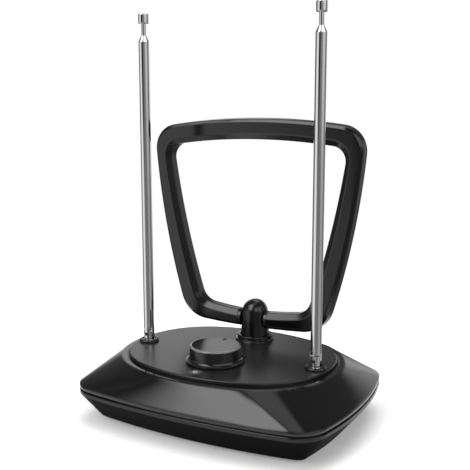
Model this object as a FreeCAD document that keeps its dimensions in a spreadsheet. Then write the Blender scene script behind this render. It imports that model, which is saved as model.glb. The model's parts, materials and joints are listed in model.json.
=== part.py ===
import FreeCAD, Part
import math
import os

import Sketcher
from FreeCAD import Vector

# Indoor television aerial: a weighted, amplified base with two telescopic rods and a tilting loop.
# Millimetres, +Z up, origin on the table under the middle of the base, -Y to the front.

driving_sizes = [
    # base outline at its widest, the belt where the two shells meet
    ("base_width", 187.0, "width of the belt"),
    ("base_depth", 141.5, "depth of the belt"),
    ("belt_front_bow", 440.0, "radius of the bowed front and back"),
    ("belt_side_bow", 222.0, "radius of the bowed sides"),
    ("belt_corner", 21.0, "corner radius of the belt"),
    ("shell_wall", 2.2, "wall of both shells"),
    # heights of the base, from the table
    ("foot_gap", 2.8, "table to the underside of the lower shell"),
    ("band_bottom", 19.6, "foot of the lower shell's band"),
    ("parting_groove", 22.2, "foot of the groove between the shells"),
    ("groove_height", 0.8, "height of that groove"),
    ("groove_depth", 1.2, "depth of that groove"),
    ("slope_bottom", 25.4, "top of the upper shell's band"),
    ("slope_top", 41.3, "shoulder round the top plate"),
    ("plate_top", 43.5, "top face of the top plate"),
    ("band_edge", 0.7, "rounding of the bands"),
    ("bottom_inset", 13.8, "how far the underside lies inside the belt"),
    # oval top plate
    ("plate_width", 143.0, "width of the top plate"),
    ("plate_depth", 112.0, "depth of the top plate"),
    ("plate_side_bow", 68.0, "radius of its ends"),
    ("plate_end_half", 5.92, "half the depth of its end arcs"),
    ("plate_corner_room", 5.0, "what the next arcs' radius lacks to half the plate's depth"),
    ("plate_thickness", 3.0, "thickness of the top plate"),
    ("plate_edge", 0.8, "rounding of its upper edge"),
    ("plate_gap", 0.7, "groove round the top plate"),
    ("shoulder_width", 5.6, "top plate's edge to the head of the slope"),
    ("shoulder_bevel", 0.8, "width of the shoulder's bevelled edge"),
    ("shoulder_drop", 0.6, "height of that edge"),
    # feet and screws
    ("foot_diameter", 12.0, "rubber foot"),
    ("foot_recess", 1.0, "depth of the foot's seat"),
    ("foot_edge", 0.8, "rounding of the foot"),
    ("foot_inset_x", 26.5, "foot's middle to the belt's side"),
    ("foot_inset_y", 30.75, "foot's middle to the belt's front or back"),
    ("boss_diameter", 7.6, "screw boss"),
    ("boss_inset_x", 47.5, "boss to the belt's side"),
    ("boss_inset_y", 29.75, "boss to the belt's front or back"),
    ("boss_meet", 14.0, "height where the bosses of the two shells meet"),
    ("screw_diameter", 3.0, "case screw"),
    ("screw_head", 5.6, "case screw's head"),
    ("screw_head_height", 2.2, "height of that head"),
    ("screw_seat", 5.2, "depth of the counterbore"),
    ("screw_length", 20.0, "case screw under its head"),
    ("screw_clearance", 0.12, "round a screw in its hole"),
    # amplifier in the base
    ("board_side_room", 55.5, "belt's side to the circuit board"),
    ("board_front_room", 5.6, "lamp's middle to the board's front edge"),
    ("board_back_room", 15.05, "post's middle to the board's back edge"),
    ("board_thickness", 1.6, "circuit board"),
    ("board_height", 22.4, "underside of the board from the table"),
    ("standoff_diameter", 6.0, "post under the board"),
    ("standoff_inset", 4.5, "post from the board's edges"),
    ("board_screw", 2.4, "board screw"),
    ("board_screw_head", 4.4, "its head"),
    ("board_screw_length", 8.0, "under its head"),
    ("shield_side_room", 16.0, "board's side to the shield can"),
    ("shield_depth", 18.0, "shield can"),
    ("shield_height", 6.0, "shield can"),
    ("shield_wall", 0.4, "sheet of the shield can"),
    ("shield_back_gap", 4.0, "shield can to the board's back edge"),
    ("ballast_side_room", 10.0, "board's side to the steel ballast plate"),
    ("ballast_depth", 52.0, "steel ballast plate"),
    ("ballast_thickness", 4.0, "steel ballast plate"),
    ("peg_diameter", 4.0, "peg that holds the ballast"),
    ("peg_inset", 10.0, "peg to the ballast's end"),
    # gain control and lamp
    ("knob_inset", 33.8, "knob's axis to the front of the top plate"),
    ("knob_skirt", 37.6, "foot of the knob"),
    ("knob_skirt_height", 0.9, "foot of the knob"),
    ("knob_flare", 2.6, "radius of the hollow curve above the skirt"),
    ("knob_flare_height", 2.5, "height of that curve"),
    ("knob_foot", 34.0, "knob above that curve"),
    ("knob_head", 33.0, "knob under its rim"),
    ("knob_height", 11.0, "knob above the top plate"),
    ("knob_rim", 1.0, "chamfer of the knob's rim"),
    ("knob_gap", 0.4, "knob over the top plate"),
    ("knob_wall", 2.4, "wall of the hollow knob"),
    ("knob_hub", 10.0, "hub in the knob"),
    ("pointer_diameter", 2.0, "dimple that marks the setting"),
    ("pointer_depth", 0.5, "depth of that dimple"),
    ("pointer_inset", 2.6, "dimple's middle to the knob's head edge"),
    ("shaft_diameter", 6.0, "potentiometer shaft"),
    ("shaft_fit", 0.05, "radial room round that shaft"),
    ("control_size", 16.0, "potentiometer body"),
    ("control_height", 6.5, "potentiometer body"),
    ("bushing_diameter", 7.4, "potentiometer bushing"),
    ("lamp_inset", 8.6, "lamp to the front of the top plate"),
    ("lamp_diameter", 3.4, "lamp"),
    ("lamp_flange", 5.0, "foot of the lamp's light pipe"),
    ("lamp_flange_height", 3.0, "foot of the lamp's light pipe"),
    ("lamp_rise", 0.5, "lamp above the top plate"),
    ("lamp_fit", 0.1, "radial room round the lamp"),
    # connector bay at the back
    ("bay_width", 38.0, "recess for the connectors"),
    ("bay_bottom", 27.2, "its floor from the table"),
    ("bay_clear", 0.3, "connector's flange to floor and ceiling"),
    ("bay_cover", 2.19, "its depth under the slope at the ceiling"),
    ("bay_wall", 2.4, "thickness of the panel"),
    ("inlet_place", 10.0, "each connector from the middle"),
    ("jack_diameter", 8.0, "low-voltage jack"),
    ("jack_bore", 5.6, "opening of the jack"),
    ("jack_pin", 2.1, "centre pin of the jack"),
    ("jack_depth", 9.0, "depth of the jack's opening"),
    ("jack_body_width", 8.8, "jack behind the panel"),
    ("jack_body_length", 12.0, "jack behind the panel"),
    ("jack_stand", 0.6, "jack's case from the panel"),
    ("jack_root", 1.0, "centre pin's root in the jack"),
    ("gland_bore", 5.0, "opening for the aerial lead"),
    ("gland_body", 7.2, "gland in the panel"),
    ("gland_flange", 9.0, "gland outside the panel"),
    ("gland_flange_thickness", 1.2, "gland outside the panel"),
    ("panel_fit", 0.1, "radial room round a connector"),
    # telescopic rods
    ("rod_inset", 8.2, "rod to the end of the top plate"),
    ("rod_place_y", 5.7, "rods in front of the middle"),
    ("rod_height", 223.9, "collapsed rod above the top plate"),
    ("tube_first", 7.1, "diameter of the outer tube"),
    ("tube_wall", 0.3, "wall of each tube"),
    ("slide_gap", 0.19, "radial room between two tubes"),
    ("mouth_gap", 0.08, "radial room in a tube's rolled mouth"),
    ("bush_gap", 0.05, "radial room round a tube's spring bush"),
    ("mouth_height", 1.0, "height of the rolled mouth"),
    ("mouth_lip", 0.2, "width of the lip at the mouth"),
    ("bush_height", 4.0, "height of the spring bush"),
    ("stage_step", 1.0, "each tube's end above the one round it"),
    ("nest_step", 1.0, "each tube's foot above the one round it"),
    ("tip_shown", 7.7, "bare tip rod under the button"),
    ("button_diameter", 7.0, "button at the tip"),
    ("button_height", 6.4, "button at the tip"),
    ("button_edge", 0.7, "rounding of the button"),
    ("button_socket", 4.0, "tip rod inside the button"),
    # swivelling knuckle of a rod
    ("collar_lip", 1.2, "flange of the rod's collar, beyond its stem"),
    ("collar_height", 1.5, "flange of the rod's collar"),
    ("collar_edge", 0.5, "chamfer of that flange"),
    ("collar_wall", 1.1, "wall of the collar in the top plate"),
    ("swivel_diameter", 8.0, "swivel in its collar"),
    ("swivel_fit", 0.1, "radial room round the swivel"),
    ("stub_step", 0.4, "forked stub inside the swivel's barrel"),
    ("hinge_height", 5.6, "hinge above the top plate"),
    ("cheek_radius", 3.5, "round end of the fork's cheeks"),
    ("tongue_thickness", 2.8, "rod's tongue in the fork"),
    ("tongue_fit", 0.1, "room at each side of the tongue"),
    ("shoulder_clear", 0.4, "shoulder of the rod's foot over the cheeks"),
    ("foot_height", 2.6, "shoulder of the rod's foot"),
    ("spigot_height", 6.0, "rod's foot in the outer tube"),
    ("spigot_fit", 0.02, "radial room round that spigot"),
    ("hinge_pin", 2.0, "diameter of the hinge pin"),
    ("pin_fit", 0.05, "radial room round a pin"),
    ("stud_diameter", 4.0, "threaded end of the swivel"),
    ("nut_height", 3.0, "nut on the swivel"),
    ("nut_flats", 9.5, "nut across its flats"),
    ("nut_play", 0.3, "nut under the collar"),
    # loop and its post
    ("post_inset", 20.95, "post's axis to the back of the top plate"),
    ("post_foot", 20.4, "domed post at its foot"),
    ("post_head", 18.4, "domed post under its dome"),
    ("post_flat", 8.9, "flats for the washers, from the post's axis"),
    ("post_height", 28.9, "top of the dome above the top plate"),
    ("post_gap", 0.3, "post over the top plate"),
    ("ring_diameter", 27.6, "lip of the flange round the post"),
    ("ring_lip", 0.9, "height of that lip"),
    ("ring_step", 0.8, "flange's wall inside its lip"),
    ("ring_height", 3.8, "flange round the post"),
    ("ring_gap", 0.3, "room between post and flange"),
    ("ring_edge", 0.6, "chamfer of the flange"),
    ("stem_diameter", 11.8, "post's stem"),
    ("stem_fit", 0.1, "radial room round that stem"),
    ("clip_diameter", 18.0, "clip that holds the stem"),
    ("clip_thickness", 1.2, "clip that holds the stem"),
    ("clip_groove", 1.2, "depth of the clip's groove"),
    ("clip_play", 0.2, "clip under the roof"),
    ("pivot_diameter", 4.0, "loop's pivot pin"),
    ("pivot_length", 46.0, "loop's pivot pin"),
    ("washer_diameter", 12.6, "friction washer"),
    ("washer_thickness", 2.4, "friction washer"),
    ("washer_gap", 0.1, "at each face of a washer"),
    ("flat_room", 0.4, "flat beyond the washer's edge"),
    ("loop_foot", 52.6, "underside of the loop from the table"),
    ("loop_head", 199.7, "top of the loop from the table"),
    ("loop_reach", 82.1, "where the sides would stand upright, from the middle"),
    ("loop_reach_height", 224.0, "height of that place"),
    ("loop_side_bow", 531.0, "radius of the loop's sides"),
    ("loop_top_bow", 480.0, "radius of the loop's top"),
    ("loop_foot_bow", 540.0, "radius of the loop's underside"),
    ("loop_top_corner", 17.5, "upper corners of the loop"),
    ("loop_foot_corner", 23.0, "lower corners of the loop"),
    ("bar_foot", 11.5, "loop's bar at its foot"),
    ("bar_head", 14.7, "loop's bar at its top"),
    ("bar_side", 8.2, "sides of the opening inside those of the loop, where each stands upright"),
    ("opening_reach_height", 266.0, "height where the opening's sides would stand upright"),
    ("opening_side_bow", 617.0, "radius of the opening's sides"),
    ("opening_top_bow", 466.0, "radius of the opening's top"),
    ("opening_foot_bow", 230.0, "radius of the opening's foot"),
    ("opening_top_corner", 10.0, "upper corners of the opening"),
    ("opening_foot_corner", 12.5, "lower corners of the opening"),
    ("bar_depth", 12.3, "loop's bar from front to back"),
    ("bar_chamfer", 3.5, "front chamfers of the bar"),
    ("back_chamfer", 5.4, "outer chamfer at the bar's back"),
    ("back_edge", 3.4, "inner chamfer at the bar's back"),
    ("element_thickness", 1.2, "metal strip in the loop"),
    ("element_fit", 0.02, "room round the strip"),
]

doc = FreeCAD.newDocument("IndoorAerial")
sheet = doc.addObject("Spreadsheet::Sheet", "Sizes")
for row, (alias, value, note) in enumerate(driving_sizes, start=1):
    sheet.set(f"A{row}", note)
    sheet.set(f"B{row}", str(value))
    sheet.setAlias(f"B{row}", alias)
doc.recompute()


class Size:
    """A length that knows both its present value and the sheet expression behind it."""

    def __init__(self, value, text):
        self.value = float(value)
        self.text = text

    def __add__(self, other):
        other = as_size(other)
        return Size(self.value + other.value, f"({self.text} + {other.text})")

    def __sub__(self, other):
        other = as_size(other)
        return Size(self.value - other.value, f"({self.text} - {other.text})")

    def __mul__(self, other):
        other = as_size(other)
        return Size(self.value * other.value, f"({self.text} * {other.text})")

    def __truediv__(self, other):
        other = as_size(other)
        return Size(self.value / other.value, f"({self.text} / {other.text})")

    def __neg__(self):
        return Size(-self.value, f"(0 - {self.text})")

    def root(self):
        return Size(math.sqrt(self.value), f"sqrt({self.text})")


def as_size(number):
    return number if isinstance(number, Size) else Size(number, repr(float(number)))


class Sizes:
    """Gives each alias of the sheet as a Size."""

    def __getattr__(self, alias):
        return Size(sheet.get(alias), f"Sizes.{alias}")


z = Sizes()
zero = as_size(0.0)
level_tolerance = 1e-4
sub_parts = []


# Sketch helpers

def start_body(label):
    body = doc.addObject("PartDesign::Body", label)
    body.Label = label
    sub_parts.append(body)
    return body


def bind(thing, field, size):
    thing.setExpression(field, as_size(size).text)


def place(body, x=0.0, y=0.0, height=0.0):
    for axis, size in zip("xyz", (x, y, height)):
        bind(body, f"Placement.Base.{axis}", size)


def start_sketch(body, role, offset=0.0):
    sketch = body.newObject("Sketcher::SketchObject", "Sketch")
    plane = next(item for item in body.Origin.OriginFeatures if item.Role == role)
    sketch.AttachmentSupport = [(plane, "")]
    sketch.MapMode = "FlatFace"
    bind(sketch, "AttachmentOffset.Base.z", offset)
    return sketch


def constrain(sketch, constraint, size):
    index = sketch.addConstraint(constraint)
    sketch.setExpression(f"Constraints[{index}]", size.text)


def pin_point(sketch, geometry, end, x, y):
    """Ties a point of the sketch to its distances from the origin."""
    for kind, size, axis in (("DistanceX", as_size(x), -2), ("DistanceY", as_size(y), -1)):
        if abs(size.value) < 1e-7:
            sketch.addConstraint(Sketcher.Constraint("PointOnObject", geometry, end, axis))
        elif size.value > 0:
            constrain(sketch, Sketcher.Constraint(kind, -1, 1, geometry, end, size.value), size)
        else:
            constrain(sketch, Sketcher.Constraint(kind, geometry, end, -1, 1, -size.value), -size)


def arc_between(start, end, radius):
    """The shorter arc from start to end; a negative radius turns clockwise."""
    chord = end - start
    across = Vector(-chord.y, chord.x, 0)
    across.normalize()
    rise = math.sqrt(max(radius * radius - chord.Length ** 2 / 4, 0.0))
    centre = (start + end) * 0.5 + across * math.copysign(rise, radius)
    first, last = (start, end) if radius > 0 else (end, start)
    angles = [math.atan2(point.y - centre.y, point.x - centre.x) for point in (first, last)]
    circle = Part.Circle(centre, Vector(0, 0, 1), abs(radius))
    return Part.ArcOfCircle(circle, angles[0], angles[1])


def polygon(sketch, points):
    """A closed outline; a point with a third entry starts an arc of that radius."""
    corners = [Vector(as_size(point[0]).value, as_size(point[1]).value, 0) for point in points]
    ends = []
    for index, point in enumerate(points):
        start = corners[index]
        end = corners[(index + 1) % len(points)]
        if len(point) == 2:
            ends.append((sketch.addGeometry(Part.LineSegment(start, end)), 1, 2))
            continue
        turn = point[2].value
        geometry = sketch.addGeometry(arc_between(start, end, turn))
        ends.append((geometry, 1, 2) if turn > 0 else (geometry, 2, 1))
        radius = point[2] if turn > 0 else -point[2]
        constrain(sketch, Sketcher.Constraint("Radius", geometry, abs(turn)), radius)
    for index, (geometry, start, end) in enumerate(ends):
        following = ends[(index + 1) % len(ends)]
        sketch.addConstraint(Sketcher.Constraint("Coincident", geometry, end, following[0], following[1]))
        pin_point(sketch, geometry, start, points[index][0], points[index][1])


def rectangle(sketch, left, right, low, high):
    polygon(sketch, [(left, low), (right, low), (right, high), (left, high)])


def circles(sketch, places, radius):
    for x, y in places:
        centre = Vector(as_size(x).value, as_size(y).value, 0)
        geometry = sketch.addGeometry(Part.Circle(centre, Vector(0, 0, 1), radius.value))
        constrain(sketch, Sketcher.Constraint("Radius", geometry, radius.value), radius)
        pin_point(sketch, geometry, 3, x, y)


def meeting_point(first, first_reach, second, second_reach, toward):
    """Where two circles cross; of the two places, the one that lies further toward a direction."""
    along = second - first
    span = along.Length
    along.normalize()
    base = (first_reach ** 2 - second_reach ** 2 + span ** 2) / (2 * span)
    rise = math.sqrt(first_reach ** 2 - base ** 2)
    across = Vector(-along.y, along.x, 0)
    options = [first + along * base + across * rise, first + along * base - across * rise]
    return max(options, key=lambda point: point.dot(toward))


def heading(centre, point):
    return math.atan2(point.y - centre.y, point.x - centre.x)


def tangent_ring(sketch, arcs):
    """Arcs (centre, radius, start, end) that follow each other, each tangent to the next."""
    names = []
    for centre, radius, start, end in arcs:
        circle = Part.Circle(centre, Vector(0, 0, 1), radius)
        names.append(sketch.addGeometry(Part.ArcOfCircle(circle, start, end)))
    for index, geometry in enumerate(names):
        following = names[(index + 1) % len(names)]
        sketch.addConstraint(Sketcher.Constraint("Tangent", geometry, 2, following, 1))
    return names


def oval(sketch, half_x, half_y, bow_y, bow_x, corner):
    """Two bowed ends, bowed front and back, and four corners, all tangent arcs."""
    end_centre = Vector(half_x.value - bow_x.value, 0, 0)
    back_centre = Vector(0, half_y.value - bow_y.value, 0)
    reach_end = bow_x.value - corner.value
    reach_back = bow_y.value - corner.value
    middle = meeting_point(back_centre, reach_back, end_centre, reach_end, Vector(1, 1, 0))
    turn_end = heading(end_centre, middle)
    turn_back = heading(back_centre, middle)
    half = math.pi
    arcs = [
        (end_centre, bow_x.value, -turn_end, turn_end),
        (middle, corner.value, turn_end, turn_back),
        (back_centre, bow_y.value, turn_back, half - turn_back),
        (Vector(-middle.x, middle.y, 0), corner.value, half - turn_back, half - turn_end),
        (-end_centre, bow_x.value, half - turn_end, half + turn_end),
        (-middle, corner.value, half + turn_end, half + turn_back),
        (-back_centre, bow_y.value, half + turn_back, 2 * half - turn_back),
        (Vector(middle.x, -middle.y, 0), corner.value, 2 * half - turn_back, 2 * half - turn_end),
    ]
    right, corner_one, back, corner_two, left, corner_three, front, corner_four = tangent_ring(sketch, arcs)
    for other in (corner_two, corner_three, corner_four):
        sketch.addConstraint(Sketcher.Constraint("Equal", corner_one, other))
    sketch.addConstraint(Sketcher.Constraint("Equal", right, left))
    sketch.addConstraint(Sketcher.Constraint("Equal", back, front))
    constrain(sketch, Sketcher.Constraint("Radius", right, bow_x.value), bow_x)
    constrain(sketch, Sketcher.Constraint("Radius", back, bow_y.value), bow_y)
    constrain(sketch, Sketcher.Constraint("Radius", corner_one, corner.value), corner)
    pin_point(sketch, right, 3, half_x - bow_x, zero)
    pin_point(sketch, left, 3, bow_x - half_x, zero)
    pin_point(sketch, back, 3, zero, half_y - bow_y)
    pin_point(sketch, front, 3, zero, bow_y - half_y)


def belt_oval(sketch, inset):
    oval(sketch, z.base_width / 2 - inset, z.base_depth / 2 - inset, z.belt_front_bow - inset,
         z.belt_side_bow - inset, z.belt_corner - inset)


def plate_oval(sketch, grow):
    """The top plate's outline; its front and back take the radius that meets the corners smoothly."""
    half_depth = z.plate_depth / 2
    corner = half_depth - z.plate_corner_room
    reach = z.plate_side_bow - corner
    rise = z.plate_end_half / z.plate_side_bow
    corner_x = z.plate_width / 2 - z.plate_side_bow + reach * (as_size(1.0) - rise * rise).root()
    drop = half_depth - reach * rise
    front_bow = (corner_x * corner_x + drop * drop - corner * corner) / ((drop - corner) * 2)
    oval(sketch, z.plate_width / 2 + grow, half_depth + grow, front_bow + grow,
         z.plate_side_bow + grow, corner + grow)


def loop_oval(sketch, share, inset):
    """Ring outline between the loop's outside (share 0) and its opening (share 1), all tangent arcs."""

    def between(outer, inner):
        return outer * (1.0 - share) + inner * share

    side_bow = between(z.loop_side_bow, z.opening_side_bow)
    top_bow = between(z.loop_top_bow, z.opening_top_bow)
    foot_bow = between(z.loop_foot_bow, z.opening_foot_bow)
    side_x = between(z.loop_reach, z.loop_reach - z.bar_side) - side_bow
    side_z = between(z.loop_reach_height, z.opening_reach_height)
    top_z = between(z.loop_head, z.loop_head - z.bar_head) - top_bow
    foot_z = between(z.loop_foot, z.loop_foot + z.bar_foot) + foot_bow
    top_corner = between(z.loop_top_corner, z.opening_top_corner) - inset
    foot_corner = between(z.loop_foot_corner, z.opening_foot_corner) - inset
    radii = [foot_bow - inset, side_bow - inset, top_bow - inset]
    foot_reach, side_reach, top_reach = (radius.value for radius in radii)
    foot = Vector(0, foot_z.value, 0)
    side = Vector(side_x.value, side_z.value, 0)
    top = Vector(0, top_z.value, 0)
    upper = meeting_point(top, top_reach - top_corner.value, side, side_reach - top_corner.value,
                          Vector(1, 1, 0))
    lower = meeting_point(foot, foot_reach - foot_corner.value, side, side_reach - foot_corner.value,
                          Vector(1, -1, 0))
    half = math.pi
    turn_foot = heading(foot, lower)
    turn_low = heading(side, lower)
    turn_high = heading(side, upper)
    turn_top = heading(top, upper)

    def flip(point):
        return Vector(-point.x, point.y, 0)

    arcs = [
        (foot, foot_reach, -half - turn_foot, turn_foot),
        (lower, foot_corner.value, turn_foot, turn_low),
        (side, side_reach, turn_low, turn_high),
        (upper, top_corner.value, turn_high, turn_top),
        (top, top_reach, turn_top, half - turn_top),
        (flip(upper), top_corner.value, half - turn_top, half - turn_high),
        (flip(side), side_reach, half - turn_high, half - turn_low),
        (flip(lower), foot_corner.value, half - turn_low, half - turn_foot),
    ]
    names = tangent_ring(sketch, arcs)
    underside, lower_right, right, upper_right, crown, upper_left, left, lower_left = names
    for first, second in ((lower_right, lower_left), (upper_right, upper_left), (right, left)):
        sketch.addConstraint(Sketcher.Constraint("Equal", first, second))
    corners_and_bows = [(lower_right, foot_corner), (upper_right, top_corner), (underside, radii[0]),
                        (right, radii[1]), (crown, radii[2])]
    for geometry, radius in corners_and_bows:
        constrain(sketch, Sketcher.Constraint("Radius", geometry, radius.value), radius)
    pin_point(sketch, underside, 3, zero, foot_z)
    pin_point(sketch, crown, 3, zero, top_z)
    pin_point(sketch, right, 3, side_x, side_z)
    pin_point(sketch, left, 3, -side_x, side_z)


# Feature helpers

def revolve(body, points):
    """Turns a profile of (radius, height) points round the body's Z axis."""
    sketch = start_sketch(body, "XZ_Plane")
    polygon(sketch, points)
    feature = body.newObject("PartDesign::Revolution", "Revolution")
    feature.Profile = sketch
    feature.ReferenceAxis = (sketch, ["V_Axis"])
    feature.Angle = 360.0
    return feature


def pad(body, sketch, length, midplane=False, reverse=False):
    feature = body.newObject("PartDesign::Pad", "Pad")
    feature.Profile = sketch
    bind(feature, "Length", length)
    feature.Midplane = midplane
    feature.Reversed = reverse
    return feature


def pocket(body, sketch, length, midplane=False, reverse=False):
    feature = body.newObject("PartDesign::Pocket", "Pocket")
    feature.Profile = sketch
    bind(feature, "Length", length)
    feature.Midplane = midplane
    feature.Reversed = reverse
    return feature


def loft(body, kind, lower, upper):
    feature = body.newObject(f"PartDesign::{kind}Loft", "Loft")
    feature.Profile = lower
    feature.Sections = [upper]
    feature.Ruled = True
    return feature


def edges_where(feature, test):
    doc.recompute()
    shape = feature.Shape
    return [f"Edge{number}" for number, edge in enumerate(shape.Edges, start=1) if test(edge)]


def all_level(shape, axis, height):
    """Whether an edge or face lies wholly in one plane across an axis."""
    low = getattr(shape.BoundBox, f"{axis}Min")
    high = getattr(shape.BoundBox, f"{axis}Max")
    return abs(low - height.value) < level_tolerance and abs(high - height.value) < level_tolerance


def level_edges(feature, axis, height):
    return edges_where(feature, lambda edge: all_level(edge, axis, height))


def rim_edges(feature, axis, height, outside):
    """Of the level edges, those of the outline (outside) or of the opening within it."""
    names = level_edges(feature, axis, height)
    edges = [feature.Shape.Edges[int(name[4:]) - 1] for name in names]
    face = next(face for face in feature.Shape.Faces if all_level(face, axis, height))
    rim = face.OuterWire.Edges
    return [name for name, edge in zip(names, edges) if any(edge.isSame(part) for part in rim) == outside]


def soften(body, kind, feature, edges, size):
    softened = body.newObject(f"PartDesign::{kind}", kind)
    softened.Base = (feature, edges)
    bind(softened, "Radius" if kind == "Fillet" else "Size", size)
    return softened


def turned(label, points, x=0.0, y=0.0, height=0.0):
    body = start_body(label)
    revolve(body, points)
    place(body, x, y, height)
    return body


# Derived places

groove_top = z.parting_groove + z.groove_height
plate_bottom = z.plate_top - z.plate_thickness
roof_bottom = plate_bottom - z.shell_wall
floor_top = z.foot_gap + z.shell_wall
board_top = z.board_height + z.board_thickness
hinge_z = z.plate_top + z.hinge_height
pivot_z = z.loop_foot + z.bar_foot / 2
rod_x = z.plate_width / 2 - z.rod_inset
rod_y = -z.rod_place_y
knob_y = z.knob_inset - z.plate_depth / 2
lamp_y = z.lamp_inset - z.plate_depth / 2
post_y = z.plate_depth / 2 - z.post_inset
foot_x = z.base_width / 2 - z.foot_inset_x
foot_y = z.base_depth / 2 - z.foot_inset_y
board_half = z.base_width / 2 - z.board_side_room
board_front = lamp_y - z.board_front_room
board_back = post_y - z.board_back_room
ballast_half = board_half - z.ballast_side_room
peg_x = ballast_half - z.peg_inset
collar_bore = z.swivel_diameter / 2 + z.swivel_fit
collar_stem = collar_bore + z.collar_wall
bay_top = z.bay_bottom + z.gland_flange + z.bay_clear * 2
bay_middle = (z.bay_bottom + bay_top) / 2
belt_back = z.base_depth / 2
shoulder_back = z.plate_depth / 2 + z.shoulder_width
slope_share = (bay_top - z.slope_bottom) / (z.slope_top - z.slope_bottom)
bay_y = belt_back - (belt_back - shoulder_back) * slope_share - z.bay_cover
sides = (("left", -1), ("right", 1))
corners = [("front_left", -1, -1), ("front_right", 1, -1), ("back_left", -1, 1), ("back_right", 1, 1)]


def at_corners(x, y):
    return [(x * right, y * back) for name, right, back in corners]


boss_places = at_corners(z.base_width / 2 - z.boss_inset_x, z.base_depth / 2 - z.boss_inset_y)
standoff_x = board_half - z.standoff_inset
standoff_places = [(standoff_x * right, y) for right in (-1, 1)
                   for y in (board_front + z.standoff_inset, board_back - z.standoff_inset)]
rod_places = [(rod_x * right, rod_y) for name, right in sides]
peg_places = [(peg_x, zero), (-peg_x, zero)]


# Lower shell: a tray that flares out to the belt

def make_lower_shell():
    body = start_body("lower_shell")
    underside = start_sketch(body, "XY_Plane", z.foot_gap)
    belt_oval(underside, z.bottom_inset)
    band_foot = start_sketch(body, "XY_Plane", z.band_bottom)
    belt_oval(band_foot, zero)
    flare = loft(body, "Additive", underside, band_foot)
    band = start_sketch(body, "XY_Plane", z.band_bottom)
    belt_oval(band, zero)
    band_pad = pad(body, band, z.parting_groove - z.band_bottom)
    edges = level_edges(band_pad, "Z", z.parting_groove)
    soften(body, "Fillet", band_pad, edges, z.band_edge)
    rim = start_sketch(body, "XY_Plane", z.band_bottom)
    belt_oval(rim, z.groove_depth)
    pad(body, rim, groove_top - z.band_bottom)
    hollow_foot = start_sketch(body, "XY_Plane", floor_top)
    belt_oval(hollow_foot, z.bottom_inset)
    hollow_head = start_sketch(body, "XY_Plane", z.band_bottom)
    belt_oval(hollow_head, z.shell_wall + z.groove_depth)
    loft(body, "Subtractive", hollow_foot, hollow_head)
    mouth = start_sketch(body, "XY_Plane", groove_top)
    belt_oval(mouth, z.shell_wall + z.groove_depth)
    pocket(body, mouth, groove_top - z.band_bottom)
    bosses = start_sketch(body, "XY_Plane", z.foot_gap + z.shell_wall / 2)
    circles(bosses, boss_places, z.boss_diameter / 2)
    pad(body, bosses, z.boss_meet - z.foot_gap - z.shell_wall / 2)
    standoffs = start_sketch(body, "XY_Plane", z.foot_gap + z.shell_wall / 2)
    circles(standoffs, standoff_places, z.standoff_diameter / 2)
    pad(body, standoffs, z.board_height - z.foot_gap - z.shell_wall / 2)
    pegs = start_sketch(body, "XY_Plane", z.foot_gap + z.shell_wall / 2)
    circles(pegs, peg_places, z.peg_diameter / 2)
    pad(body, pegs, z.shell_wall / 2 + z.ballast_thickness)
    through = start_sketch(body, "XY_Plane", z.boss_meet)
    circles(through, boss_places, z.screw_diameter / 2 + z.screw_clearance)
    pocket(body, through, z.boss_meet - z.foot_gap)
    seats = start_sketch(body, "XY_Plane", z.foot_gap)
    circles(seats, boss_places, z.screw_head / 2 + z.screw_clearance)
    pocket(body, seats, z.screw_seat, reverse=True)
    pilots = start_sketch(body, "XY_Plane", z.board_height)
    circles(pilots, standoff_places, z.board_screw / 2 + z.screw_clearance)
    pocket(body, pilots, z.board_screw_length)
    foot_seats = start_sketch(body, "XY_Plane", z.foot_gap)
    circles(foot_seats, at_corners(foot_x, foot_y), z.foot_diameter / 2)
    pocket(body, foot_seats, z.foot_recess, reverse=True)


# Upper shell: straight slopes from the bowed belt up to the oval shoulder

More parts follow.
